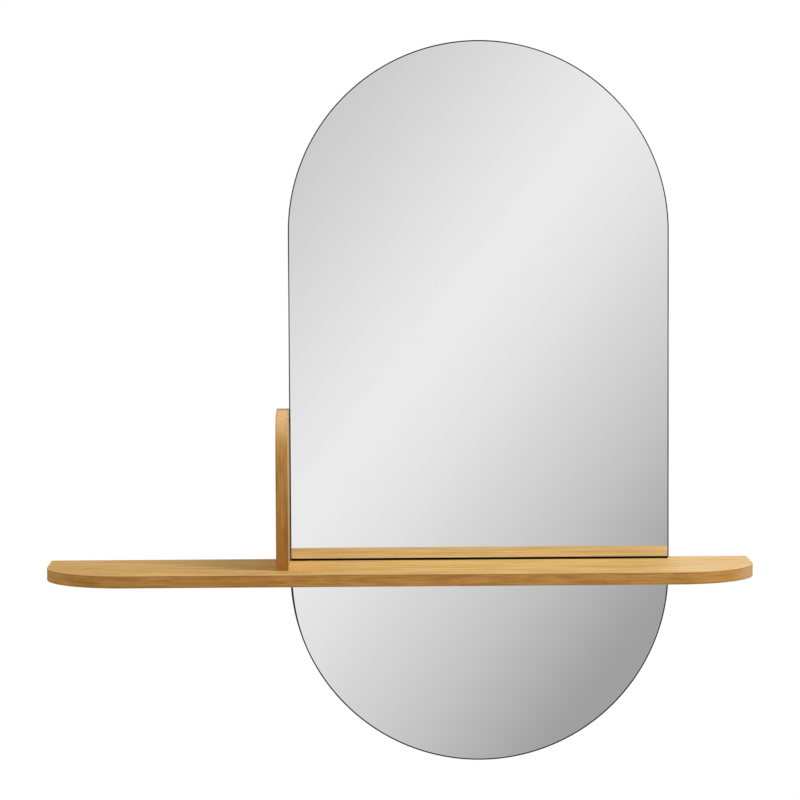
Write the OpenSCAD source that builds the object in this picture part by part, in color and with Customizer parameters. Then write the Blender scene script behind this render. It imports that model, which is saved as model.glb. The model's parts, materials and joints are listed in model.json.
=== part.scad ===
// Capsule-shaped wall mirror with a shelf.
//
// Two pieces of mirror glass, an arch above and a bowl below, are taped to one back panel.
// A veneered shelf passes between them: a notch in its rear edge fits round the panel, and
// screws from behind draw it tight. It reaches far past the left side of the glass and a
// little past the right. A small upright fin with a round shoulder stands on the shelf
// close to the left edge of the glass. A pair of hooked aluminium rails hangs it all.
//
// X points to the right, Y into the wall and Z up. The wall is the plane y = 0, and the
// origin is midway between the two wall screw holes. All sizes are in millimetres.

/* [Mirror glass] */
// Width of the glass, and so the diameter of both round ends
mirror_w = 500; // [440:10:600]
// Height of the glass, from the top of the arch to the bottom of the bowl
mirror_h = 950; // [900:10:1200]
// Thickness of the glass
glass_t = 4; // [3:0.5:6]
// Width of the polished arris round the front of each glass
arris = 1.2; // [0.5:0.1:2]
// Thickness of the foam tape that bonds the glass to the panel
tape_t = 1; // [0.8:0.1:2]
// Width of one strip of tape
tape_w = 19; // [12:1:30]
// Distance between neighbouring strips of tape, middle to middle
tape_pitch = 80; // [60:5:90]
// Distance of the tape from the edges of the glass
tape_margin = 30; // [20:1:50]
// Number of tape strips behind the arch, an odd number
arch_tapes = 5; // [3:2:5]
// Number of tape strips behind the bowl, an odd number
bowl_tapes = 5; // [3:2:5]

/* [Back panel] */
// Thickness of the back panel
panel_t = 16; // [14:1:22]
// How far the edge of the panel stays inside the edge of the glass
panel_inset = 1; // [0.5:0.5:14]
// Thickness of the rubber bumpers, and so the gap between panel and wall
bumper_t = 3; // [2.5:0.5:5]
// Diameter of a rubber bumper
bumper_d = 20; // [12:1:30]
// Distance of the bumpers from the edge of the panel
bumper_margin = 36; // [28:1:60]

/* [Veneered boards] */
// Thickness of the fibreboard core of the shelf
shelf_core_t = 15; // [14:0.5:21]
// Thickness of the fibreboard core of the fin
fin_core_t = 15; // [14:0.5:21]
// Thickness of the oak veneer on both faces of each board
veneer_t = 0.5; // [0.4:0.1:1]
// Thickness of the oak band on the edges of each board
band_t = 1; // [0.6:0.1:2]
// Radius of the eased edges of the band
ease_r = 0.6; // [0.3:0.1:0.6]
// Thickness of the glue line behind the band
glue_t = 0.1; // [0.05:0.05:0.3]

/* [Shelf] */
// Depth of the shelf from the wall to its front edge
shelf_d = 175; // [150:5:220]
// How far the shelf reaches past the left edge of the glass
left_arm = 316; // [200:2:420]
// How far the shelf reaches past the right edge of the glass
right_arm = 105; // [90:1:200]
// Radius of the two front corners of the shelf
shelf_r = 105; // [40:5:140]
// Gap between the shelf and the glass above it
shelf_gap = 1.6; // [0.8:0.1:3]
// Gap between the shelf and the glass below it
under_gap = 1.1; // [0.8:0.1:3]
// Sideways play between the notch in the shelf and the back panel
notch_play = 0.5; // [0.3:0.1:1.5]

/* [Fin] */
// Depth of the fin from the wall to its front edge
fin_d = 130; // [100:2:140]
// Height of the fin above the shelf
fin_h = 200; // [120:5:300]
// Radius of the round shoulder at the upper front corner of the fin
fin_r = 60; // [20:2:90]
// Gap between the fin and the edge of the glass
fin_gap = 0.5; // [0.3:0.1:4]

/* [Hanging rails] */
// Height of the top of the mirror above the wall screws
rail_drop = 150; // [130:5:190]
// Length of each rail
rail_l = 300; // [280:10:360]
// Thickness of the metal of the rails
rail_t = 2.5; // [2:0.1:2.5]
// Sideways step from the flange of a rail to its lip
rail_step = 3.2; // [3:0.1:4]
// Height of the flange that lies against the wall or the panel
flange_h = 18; // [16:1:24]
// Height of the sloping web between flange and lip
web_h = 4; // [3:0.5:6]
// Height of the hooking lip
lip_h = 11; // [8:0.5:14]
// Play between the lip of the panel rail and the wall
hook_play = 0.4; // [0.3:0.1:0.5]
// Diameter of the holes for the wall screws
wall_hole_d = 5.2; // [4.5:0.1:6.5]
// Distance between the two wall screw holes
wall_hole_pitch = 240; // [160:5:250]

/* [Screws and dowels] */
// Diameter of the shank of the screws that hold shelf and fin
screw_d = 4; // [3.5:0.1:4.5]
// Diameter of the countersunk head of those screws
screw_head_d = 8.5; // [7.5:0.1:9.5]
// Length of the screws that draw the shelf to the panel
shelf_screw_l = 50; // [40:1:70]
// Distance of the outer shelf screws from the edges of the panel
shelf_screw_margin = 42; // [30:1:60]
// Length of the screws that hold the fin, driven from under the shelf
fin_screw_l = 45; // [35:1:60]
// Distance of the front and rear fin screws from the edges of the fin
fin_screw_margin = 28; // [20:1:35]
// Diameter of the wooden dowels
dowel_d = 8; // [6:0.5:8]
// Depth that a dowel goes into the panel
dowel_in_panel = 10; // [6:1:11]
// Depth that a dowel goes into the front of the notch or up into the fin
dowel_in_wood = 18; // [12:1:24]
// Depth that a dowel goes down into the top of the shelf
dowel_in_shelf = 10; // [6:1:11]
// Play round a screw or a dowel in its hole
fit_play = 0.1; // [0.05:0.05:0.2]
// Diameter of the shank of the panel rail screws
rail_screw_d = 3.5; // [3:0.1:4]
// Diameter of the countersunk head of the panel rail screws
rail_screw_head_d = 7; // [6:0.1:8]
// Length of the panel rail screws
rail_screw_l = 13; // [10:0.5:13]
// Distance of the outer panel rail screws from the ends of the rail
rail_screw_margin = 20; // [15:1:40]
// Number of screws in the panel rail
rail_screws = 4; // [3:1:5]

/* [Hidden] */
$fn = 96;

// Extra length of a cutting tool past the face that it cuts
through = 1;
// Length of the point of a screw and of the chamfer on a dowel
screw_point = 4;
dowel_chamfer = 1;
// Shelf screws and the dowels between them
shelf_screw_count = 4;
shelf_dowel_count = shelf_screw_count - 1;

// Layers from the wall to the front of the glass
panel_back = -bumper_t;
panel_front = panel_back - panel_t;
glass_back = panel_front - tape_t;

// Thickness of the finished boards, and heights with the wall screws at zero
shelf_t = shelf_core_t + 2 * veneer_t;
fin_t = fin_core_t + 2 * veneer_t;
end_r = mirror_w / 2;
arch_z = rail_drop - end_r;
bowl_z = rail_drop - mirror_h + end_r;
shelf_bottom = bowl_z + under_gap;
shelf_top = shelf_bottom + shelf_t;
shelf_mid = shelf_bottom + shelf_t / 2;
arch_leg = arch_z - shelf_top - shelf_gap;
panel_r = end_r - panel_inset;

// Ends of the shelf, the notch behind the glass and the sides of the fin
shelf_left = -end_r - left_arm;
shelf_right = end_r + right_arm;
notch_half = panel_r + notch_play;
fin_right = -end_r - fin_gap;
fin_mid = fin_right - fin_t / 2;

// Hooked rails: the panel rail is the wall rail turned half a turn about the X axis
lip_bottom = flange_h / 2 + web_h;
lip_top = lip_bottom + lip_h;
hook_turn_y = -(rail_step + rail_t + hook_play);
hook_turn_z = lip_top + lip_bottom;
rail_screw_z = hook_turn_z;
panel_rail_back = hook_turn_y + rail_t;
recess_play = 3;

// Rows of holes
function row(count, pitch) = [for (i = [0:count - 1]) (i - (count - 1) / 2) * pitch];
wall_hole_x = row(2, wall_hole_pitch);
rail_screw_x = row(rail_screws, (rail_l - 2 * rail_screw_margin) / (rail_screws - 1));
shelf_screw_pitch = 2 * (panel_r - shelf_screw_margin) / (shelf_screw_count - 1);
shelf_screw_x = row(shelf_screw_count, shelf_screw_pitch);
shelf_dowel_x = row(shelf_dowel_count, shelf_screw_pitch);
fin_screw_y = [-fin_screw_margin, -fin_d + fin_screw_margin];
fin_dowel_y = (fin_screw_y[0] + fin_screw_y[1]) / 2;
bumper_reach = panel_r - bumper_margin;

// Stands a flat shape drawn in X and Z upright, from the given depth towards the viewer
module upright(back) {
    translate([0, back, 0])
        rotate([90, 0, 0])
            children();
}

// Capsule outline with its two centres on the middle line
module capsule(r, low, high) {
    translate([0, low])
        circle(r);
    translate([0, high])
        circle(r);
    translate([-r, low])
        square([2 * r, high - low]);
}

// Half disc of glass over its middle line, with the arris round its rim
module glass_end(r) {
    rotate_extrude(angle = 180)
        polygon([[0, 0], [r, 0], [r, glass_t - arris], [r - arris, glass_t], [0, glass_t]]);
}

// Straight-sided glass below its middle line, with the arris on both sides
module glass_sides(r, leg) {
    rotate([90, 0, 0])
        linear_extrude(leg)
            polygon([[-r, 0], [r, 0], [r, glass_t - arris], [r - arris, glass_t],
                [arris - r, glass_t], [-r, glass_t - arris]]);
}

// Space above a straight lower edge of the glass, sloped like its arris
module above_edge(r, edge, height) {
    translate([-r - through, edge, 0])
        rotate([90, 0, 90])
            linear_extrude(2 * (r + through))
                polygon([[0, 0], [height, 0], [height, glass_t], [arris, glass_t],
                    [0, glass_t - arris]]);
}

module arch_glass() {
    color("lightsteelblue")
        translate([0, 0, arch_z])
            upright(glass_back)
                intersection() {
                    union() {
                        glass_end(end_r);
                        glass_sides(end_r, arch_leg);
                    }
                    above_edge(end_r, -arch_leg, arch_leg + end_r + through);
                }
}

module bowl_glass() {
    color("lightsteelblue")
        translate([0, 0, bowl_z])
            upright(glass_back)
                rotate(180)
                    intersection() {
                        glass_end(end_r);
                        above_edge(end_r, 0, end_r + through);
                    }
}

// One upright strip of tape between two heights
module tape_strip(x, low, high) {
    upright(panel_front)
        translate([x - tape_w / 2, low])
            linear_extrude(tape_t)
                square([tape_w, high - low]);
}

// Height that a strip of tape reaches past the centre of a round end of the panel
function tape_reach(x) = sqrt(pow(panel_r - tape_margin, 2) - pow(abs(x) + tape_w / 2, 2));

module arch_tape_strips() {
    color("dimgray")
        for (x = row(arch_tapes, tape_pitch))
            tape_strip(x, shelf_top + shelf_gap + tape_margin, arch_z + tape_reach(x));
}

module bowl_tape_strips() {
    color("dimgray")
        for (x = row(bowl_tapes, tape_pitch / 2))
            tape_strip(x, bowl_z - tape_reach(x), bowl_z - tape_margin);
}

// Countersunk screw with the top of its head at the origin, pointing down
module screw(d, head_d, length) {
    rotate_extrude()
        polygon([[0, 0], [head_d / 2, 0], [d / 2, (d - head_d) / 2], [d / 2, screw_point - length],
            [0, -length]]);
}

// Hole for such a screw, with play all round and open above its head
module screw_hole(d, head_d, length) {
    r = d / 2 + fit_play;
    head_r = head_d / 2 + fit_play;
    translate([0, 0, -length - fit_play])
        cylinder(h = length + through, r = r);
    translate([0, 0, r - head_r])
        cylinder(h = head_r - r, r1 = r, r2 = head_r);
    cylinder(h = through, r = head_r);
}

// Fluted dowel seen as its plain envelope: from the origin down, chamfered at both ends
module dowel(length) {
    r = dowel_d / 2;
    slim = r - dowel_chamfer;
    rotate_extrude()
        polygon([[0, 0], [slim, 0], [r, -dowel_chamfer], [r, dowel_chamfer - length],
            [slim, -length], [0, -length]]);
}

// Hole for one end of a dowel, on both sides of the face at the origin
module dowel_hole(depth) {
    translate([0, 0, -depth - fit_play])
        cylinder(h = depth + fit_play + through, r = dowel_d / 2 + fit_play);
}

// Places its children on the rear of the panel, pointing to the front, at each shelf screw
module at_shelf_screws() {
    for (x = shelf_screw_x)
        translate([x, panel_back, shelf_mid])
            rotate([-90, 0, 0])
                children();
}

// Places its children where the shelf meets the panel, pointing to the front
module at_shelf_dowels() {
    for (x = shelf_dowel_x)
        translate([x, panel_front, shelf_mid])
            rotate([-90, 0, 0])
                children();
}

// Places its children under the shelf at each fin screw, pointing up
module at_fin_screws() {
    for (y = fin_screw_y)
        translate([fin_mid, y, shelf_bottom])
            rotate([180, 0, 0])
                children();
}

// Places its children on top of the shelf at the fin dowel, pointing down
module at_fin_dowel() {
    translate([fin_mid, fin_dowel_y, shelf_top])
        children();
}

// Places its children on the rear of the panel rail, pointing to the front
module at_rail_screws() {
    for (x = rail_screw_x)
        translate([x, panel_rail_back, rail_screw_z])
            rotate([-90, 0, 0])
                children();
}

module shelf_screws() {
    color("silver")
        at_shelf_screws()
            screw(screw_d, screw_head_d, shelf_screw_l);
}

module shelf_dowels() {
    color("burlywood")
        at_shelf_dowels()
            translate([0, 0, dowel_in_panel])
                dowel(dowel_in_panel + dowel_in_wood);
}

module fin_screws() {
    color("silver")
        at_fin_screws()
            screw(screw_d, screw_head_d, fin_screw_l);
}

module fin_dowel() {
    color("burlywood")
        at_fin_dowel()
            translate([0, 0, dowel_in_wood])
                dowel(dowel_in_wood + dowel_in_shelf);
}

module panel_rail_screws() {
    color("silver")
        at_rail_screws()
            screw(rail_screw_d, rail_screw_head_d, rail_screw_l);
}

// Shallow pocket in the rear of the panel, with room to lift the panel off its hook
module rail_recess() {
    low = -flange_h / 2 - lip_h - recess_play;
    high = hook_turn_z + flange_h / 2 + recess_play;
    half = rail_l / 2 + recess_play;
    translate([-half, hook_turn_y, low])
        cube([2 * half, panel_back - hook_turn_y + through, high - low]);
}

module back_panel() {
    color([0.16, 0.15, 0.14])
        difference() {
            upright(panel_back)
                linear_extrude(panel_t)
                    capsule(panel_r, bowl_z, arch_z);
            rail_recess();
            at_shelf_screws()
                screw_hole(screw_d, screw_head_d, shelf_screw_l);
            at_shelf_dowels()
                mirror([0, 0, 1])
                    dowel_hole(dowel_in_panel);
            at_rail_screws()
                screw_hole(rail_screw_d, rail_screw_head_d, rail_screw_l);
        }
}

// Quarter of a disc in the first quadrant
module quarter_disc(r) {
    intersection() {
        circle(r);
        square(r);
    }
}

// Outline of the shelf from above, with round front corners, drawn in by the given inset
module shelf_outline(inset) {
    corner_y = shelf_r - shelf_d;
    translate([shelf_left + inset, corner_y])
        square([shelf_right - shelf_left - 2 * inset, -corner_y]);
    translate([shelf_left + shelf_r, inset - shelf_d])
        square([shelf_right - shelf_left - 2 * shelf_r, shelf_d - inset]);
    translate([shelf_right - shelf_r, corner_y])
        rotate(-90)
            quarter_disc(shelf_r - inset);
    translate([shelf_left + shelf_r, corner_y])
        rotate(180)
            quarter_disc(shelf_r - inset);
}

// One layer of the shelf between two heights over its underside, notched and drilled
module shelf_layer(low, high) {
    difference() {
        translate([0, 0, shelf_bottom + low])
            linear_extrude(high - low)
                shelf_outline(band_t + glue_t);
        translate([-notch_half, panel_front, shelf_bottom - through])
            cube([2 * notch_half, through - panel_front, shelf_t + 2 * through]);
        at_shelf_screws()
            screw_hole(screw_d, screw_head_d, shelf_screw_l);
        at_shelf_dowels()
            dowel_hole(dowel_in_wood);
        at_fin_screws()
            screw_hole(screw_d, screw_head_d, fin_screw_l);
        at_fin_dowel()
            dowel_hole(dowel_in_shelf);
    }
}

module shelf_core() {
    color([0.62, 0.50, 0.38])
        shelf_layer(veneer_t, shelf_t - veneer_t);
}

module shelf_top_veneer() {
    color([0.82, 0.66, 0.42])
        shelf_layer(shelf_t - veneer_t, shelf_t);
}

module shelf_bottom_veneer() {
    color([0.78, 0.62, 0.40])
        shelf_layer(0, veneer_t);
}

// Section of the edge band: outwards along X, across the board along Y, outer edges eased
module band_section(width) {
    difference() {
        square([band_t, width]);
        for (side = [0, 1])
            translate([band_t, side * width])
                mirror([0, side])
                    difference() {
                        translate([-ease_r, -through])
                            square([ease_r + through, ease_r + through]);
                        translate([-ease_r, ease_r])
                            circle(ease_r);
                    }
    }
}

// Straight run of band that starts at the origin and goes along -Y, with its outside at +X
module band_run(length, width) {
    translate([-band_t, 0, 0])
        rotate([90, 0, 0])
            linear_extrude(length)
                band_section(width);
}

// Quarter turn of band round the origin, from +X to +Y
module band_turn(r, width) {
    rotate_extrude(angle = 90)
        translate([r - band_t, 0])
            band_section(width);
}

module shelf_edge_band() {
    side = shelf_d - shelf_r;
    front = shelf_right - shelf_left - 2 * shelf_r;
    color([0.64, 0.45, 0.24])
        translate([0, 0, shelf_bottom]) {
            translate([shelf_right, 0, 0])
                band_run(side, shelf_t);
            translate([shelf_right - shelf_r, -side, 0])
                rotate(-90)
                    band_turn(shelf_r, shelf_t);
            translate([shelf_right - shelf_r, -shelf_d, 0])
                rotate(-90)
                    band_run(front, shelf_t);
            translate([shelf_left + shelf_r, -side, 0])
                rotate(180)
                    band_turn(shelf_r, shelf_t);
            translate([shelf_left, -side, 0])
                rotate(180)
                    band_run(side, shelf_t);
        }
}

// Stands a shape upright on the shelf: X goes to the front, Y up and Z to the left
module on_shelf() {
    translate([fin_right, 0, shelf_top])
        rotate([90, 0, -90])
            children();
}

// Side view of the fin with its round shoulder, drawn in by the given inset
module fin_outline(inset) {
    square([fin_d - inset, fin_h - fin_r]);
    square([fin_d - fin_r, fin_h - inset]);
    translate([fin_d - fin_r, fin_h - fin_r])
        quarter_disc(fin_r - inset);
}

// One layer of the fin between two distances from its right face, drilled from below
module fin_layer(low, high) {
    difference() {
        on_shelf()
            translate([0, 0, low])
                linear_extrude(high - low)
                    fin_outline(band_t + glue_t);
        at_fin_screws()
            screw_hole(screw_d, screw_head_d, fin_screw_l);
        at_fin_dowel()
            mirror([0, 0, 1])
                dowel_hole(dowel_in_wood);
    }
}

module fin_core() {
    color([0.62, 0.50, 0.38])
        fin_layer(veneer_t, fin_t - veneer_t);
}

module fin_right_veneer() {
    color([0.80, 0.62, 0.38])
        fin_layer(0, veneer_t);
}

module fin_left_veneer() {
    color([0.78, 0.60, 0.36])
        fin_layer(fin_t - veneer_t, fin_t);
}

module fin_edge_band() {
    color([0.66, 0.46, 0.24])
        on_shelf() {
            translate([fin_d, fin_h - fin_r, 0])
                band_run(fin_h - fin_r, fin_t);
            translate([fin_d - fin_r, fin_h - fin_r, 0])
                band_turn(fin_r, fin_t);
            translate([0, fin_h, 0])
                rotate(90)
                    band_run(fin_d - fin_r, fin_t);
        }
}

// Hooked section of the wall rail in Y and Z, extruded along X
module rail_bar() {
    foot = flange_h / 2;
    outer = -rail_step - rail_t;
    translate([-rail_l / 2, 0, 0])
        rotate([90, 0, 90])
            linear_extrude(rail_l)
                polygon([[0, -foot], [0, foot], [-rail_step, lip_bottom], [-rail_step, lip_top],
                    [outer, lip_top], [outer, lip_bottom], [-rail_t, foot], [-rail_t, -foot]]);
}

module wall_rail() {
    color("gainsboro")
        difference() {
            rail_bar();
            for (x = wall_hole_x)
                translate([x, through, 0])
                    rotate([90, 0, 0])
                        cylinder(h = rail_t + 2 * through, d = wall_hole_d);
        }
}

module panel_rail() {
    color("gainsboro")
        difference() {
            translate([0, hook_turn_y, hook_turn_z])
                rotate([180, 0, 0])
                    rail_bar();
            at_rail_screws()
                screw_hole(rail_screw_d, rail_screw_head_d, rail_screw_l);
        }
}

// Four bumpers: two beside the long sides of the panel and two low on the bowl
module wall_bumpers() {
    low = bumper_reach * sin(45);
    color([0.25, 0.25, 0.25])
        for (side = [-1, 1], at = [[bumper_reach, (arch_z + bowl_z) / 2], [low, bowl_z - low]])
            translate([side * at[0], 0, at[1]])
                upright(0)
                    cylinder(h = bumper_t, d = bumper_d);
}

back_panel();
arch_glass();
bowl_glass();
arch_tape_strips();
bowl_tape_strips();
shelf_core();
shelf_top_veneer();
shelf_bottom_veneer();
shelf_edge_band();
fin_core();
fin_right_veneer();
fin_left_veneer();
fin_edge_band();
shelf_screws();
shelf_dowels();
fin_screws();
fin_dowel();
wall_rail();
panel_rail();
panel_rail_screws();
wall_bumpers();
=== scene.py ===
"""Capsule wall mirror with an oak shelf and a small oak fin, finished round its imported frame.

The mirror plates, the edge bands, the fasteners and the bumpers are surfaces worked out here
with numpy. The boards, the back panel, the tape and the rails are the frame's own pieces with a
finish. Everything is in metres: X to the right, Y into the wall, Z up, the wall at y = 0.
"""

import json
import logging
import math
from collections.abc import Mapping, Sequence
from dataclasses import dataclass
from enum import Enum

import bpy
import numpy as np
from mathutils import Euler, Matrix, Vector

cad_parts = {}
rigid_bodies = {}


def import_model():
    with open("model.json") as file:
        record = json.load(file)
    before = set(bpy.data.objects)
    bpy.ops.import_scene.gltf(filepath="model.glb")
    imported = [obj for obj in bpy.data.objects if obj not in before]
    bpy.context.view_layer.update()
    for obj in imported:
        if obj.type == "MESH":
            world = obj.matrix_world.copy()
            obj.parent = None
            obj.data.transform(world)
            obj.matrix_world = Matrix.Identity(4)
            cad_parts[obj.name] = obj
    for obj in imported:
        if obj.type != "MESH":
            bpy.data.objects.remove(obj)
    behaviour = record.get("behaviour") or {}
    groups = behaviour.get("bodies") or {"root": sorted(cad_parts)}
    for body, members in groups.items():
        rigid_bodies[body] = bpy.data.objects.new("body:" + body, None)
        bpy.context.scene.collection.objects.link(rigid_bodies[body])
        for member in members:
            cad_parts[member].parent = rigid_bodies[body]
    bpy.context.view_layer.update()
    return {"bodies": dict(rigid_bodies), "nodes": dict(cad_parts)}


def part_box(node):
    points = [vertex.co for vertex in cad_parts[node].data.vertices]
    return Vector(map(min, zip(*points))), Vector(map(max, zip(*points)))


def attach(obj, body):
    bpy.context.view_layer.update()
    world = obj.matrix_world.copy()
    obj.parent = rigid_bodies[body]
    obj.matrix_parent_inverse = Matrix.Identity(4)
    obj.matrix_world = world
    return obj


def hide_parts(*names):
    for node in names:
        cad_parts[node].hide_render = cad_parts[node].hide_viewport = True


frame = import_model()

BODY = next(iter(frame["bodies"]))
MM = 0.001
TURN = 2 * math.pi
TO_FRONT = (0.0, -1.0, 0.0)
UPWARDS = (0.0, 0.0, 1.0)
DOWNWARDS = (0.0, 0.0, -1.0)
TO_RIGHT = (1.0, 0.0, 0.0)
IN_METAL_AND_GLASS = ("Is Glossy Ray", "Is Transmission Ray")

log = logging.getLogger("wall_mirror")

Array = np.ndarray
Material = bpy.types.Material
Pair = tuple[float, float]
Triple = tuple[float, float, float]
Colour = Triple


# ---- shader expressions


class Wire:
    """One output of a shader node that can be used in arithmetic."""

    def __init__(self, graph: "Graph", socket: bpy.types.NodeSocket) -> None:
        """Keeps the graph and the socket of one of its nodes."""
        self.graph = graph
        self.socket = socket

    def _math(self, operation: str, left: "Wire | float", right: "Wire | float") -> "Wire":
        """Adds a Math node with its operation and operands, and gives its result."""
        return self.graph.node("ShaderNodeMath", {"operation": operation}, {0: left, 1: right})

    def __add__(self, other: "Wire | float") -> "Wire":
        """This wire plus the other."""
        return self._math("ADD", self, other)

    def __sub__(self, other: "Wire | float") -> "Wire":
        """This wire less the other."""
        return self._math("SUBTRACT", self, other)

    def __rsub__(self, other: float) -> "Wire":
        """The number less this wire."""
        return self._math("SUBTRACT", other, self)

    def __mul__(self, other: "Wire | float") -> "Wire":
        """This wire times the other."""
        return self._math("MULTIPLY", self, other)

    def __truediv__(self, other: "Wire | float") -> "Wire":
        """This wire divided by the other."""
        return self._math("DIVIDE", self, other)

    def __rtruediv__(self, other: float) -> "Wire":
        """The number divided by this wire."""
        return self._math("DIVIDE", other, self)

    __radd__ = __add__
    __rmul__ = __mul__

    def sine(self) -> "Wire":
        """Sine of this wire, in radians."""
        return self._math("SINE", self, 0.0)

    def ramp(self, start: float, end: float) -> "Wire":
        """Smooth step from 0 at the start to 1 at the end, which may be the lower of the two."""
        values = {"Value": self, "From Min": start, "From Max": end}
        return self.graph.node("ShaderNodeMapRange", {"interpolation_type": "SMOOTHSTEP"}, values)


class Graph:
    """Node tree of a material or of the world, built from Python expressions."""

    def __init__(self, owner: Material | bpy.types.World) -> None:
        """Starts an empty tree.

        Args:
            owner: New material or world that the tree belongs to.
        """
        self.owner = owner
        owner.use_nodes = True
        owner.node_tree.nodes.clear()

    def node(
        self,
        kind: str,
        settings: Mapping[str, object] | None = None,
        inputs: Mapping[int | str, object] | None = None,
        output: int | str = 0,
    ) -> Wire:
        """Adds a node, sets it up and connects it.

        Args:
            kind: Type name of the node.
            settings: Properties of the node.
            inputs: Values or wires by the name or the index of the input socket.
            output: Name or index of the output to return.

        Returns:
            The chosen output as a wire. An output node has none, and gives its own input.
        """
        made = self.owner.node_tree.nodes.new(kind)
        for name, value in (settings or {}).items():
            setattr(made, name, value)
        for key, value in (inputs or {}).items():
            if isinstance(value, Wire):
                self.owner.node_tree.links.new(value.socket, made.inputs[key])
            else:
                made.inputs[key].default_value = value
        sockets = made.outputs if len(made.outputs) else made.inputs
        return Wire(self, sockets[output])

    def colours(self, place: Wire, stops: Sequence[tuple[float, Colour]]) -> Wire:
        """Colour at a place from 0 to 1 between stops.

        Args:
            place: Place on the ramp.
            stops: Position and colour of each stop, from left to right.

        Returns:
            The colour.
        """
        ramp = self.node("ShaderNodeValToRGB", inputs={0: place})
        elements = ramp.socket.node.color_ramp.elements
        for _ in stops[2:]:
            elements.new(1.0)
        for element, (position, colour) in zip(elements, stops):
            element.position = position
            element.color = (*colour, 1.0)
        return ramp

    def place(self) -> Wire:
        """Position on the piece in metres."""
        return self.node("ShaderNodeTexCoord", output="Object")

    def axes(self, vector: Wire | None = None) -> tuple[Wire, ...]:
        """The three parts of a vector, which is the position on the piece unless given."""
        split = self.node("ShaderNodeSeparateXYZ", inputs={0: vector or self.place()})
        return tuple(Wire(self, part) for part in split.socket.node.outputs)

    def noise(
        self, scale: float | Triple, detail: float, where: Wire | None = None, rough: float = 0.5
    ) -> Wire:
        """Soft noise from about 0.2 to 0.8.

        Args:
            scale: Features on a metre, as one number or as one for each axis.
            detail: Number of finer layers.
            where: Vector at which it is read, which is the position on the piece unless given.
            rough: Strength of each finer layer.

        Returns:
            The noise as a number.
        """
        where = where or self.place()
        if isinstance(scale, tuple):
            factors = {0: where, 1: scale}
            where = self.node("ShaderNodeVectorMath", {"operation": "MULTIPLY"}, factors)
            scale = 1.0
        values = {"Vector": where, "Scale": scale, "Detail": detail, "Roughness": rough}
        return self.node("ShaderNodeTexNoise", inputs=values)

    def mix(self, share: Wire | float, first: Wire | Colour, second: Wire | Colour) -> Wire:
        """Mixes two colours: a share of 0 gives the first and a share of 1 the second."""
        a, b = ((*c, 1.0) if isinstance(c, tuple) else c for c in (first, second))
        return self.node("ShaderNodeMix", {"data_type": "RGBA"}, {0: share, 6: a, 7: b}, output=2)

    def bump(self, height: Wire, distance: float, strength: float) -> Wire:
        """Normal of a relief from 0 to 1 that stands for a distance in metres."""
        values = {"Height": height, "Distance": distance, "Strength": strength}
        return self.node("ShaderNodeBump", inputs=values)

    def seen_by(self, *rays: str) -> Wire:
        """1 for a ray of any of the given kinds, which are outputs of Light Path, and else 0."""
        kinds = [self.node("ShaderNodeLightPath", output=ray) for ray in rays]
        return sum(kinds).ramp(0.0, 1.0)

    def finish(self, colour: Wire, roughness: Wire, more: Mapping[str, Wire | float]) -> Material:
        """Shows a shader with colour, roughness and more values by name; gives the material."""
        values = {"Base Color": colour, "Roughness": roughness, **more}
        return self.show(self.node("ShaderNodeBsdfPrincipled", inputs=values))

    def show(self, shader: Wire, target: str = "ShaderNodeOutputMaterial") -> bpy.types.ID:
        """Connects a shader to a new output node, and gives the owner of the tree."""
        self.node(target, inputs={"Surface": shader})
        return self.owner


# ---- finishes


class Grain(Enum):
    """Way of the fibres: coordinates, and which of them run along, across and through."""

    ALONG_X = ("Object", (0, 1, 2))
    ALONG_Z = ("Object", (2, 1, 0))
    ALONG_BAND = ("UV", (0, 1, 2))


@dataclass(frozen=True)
class PaintedPatch:
    """Patch of painted light or shade on the wood, beyond a smooth change from a start to an end.

    Both are places along the grain, or across it, and the tone lies on the side of the end.
    """

    start: float
    end: float
    tone: Colour
    share: float
    across: bool = False


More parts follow.
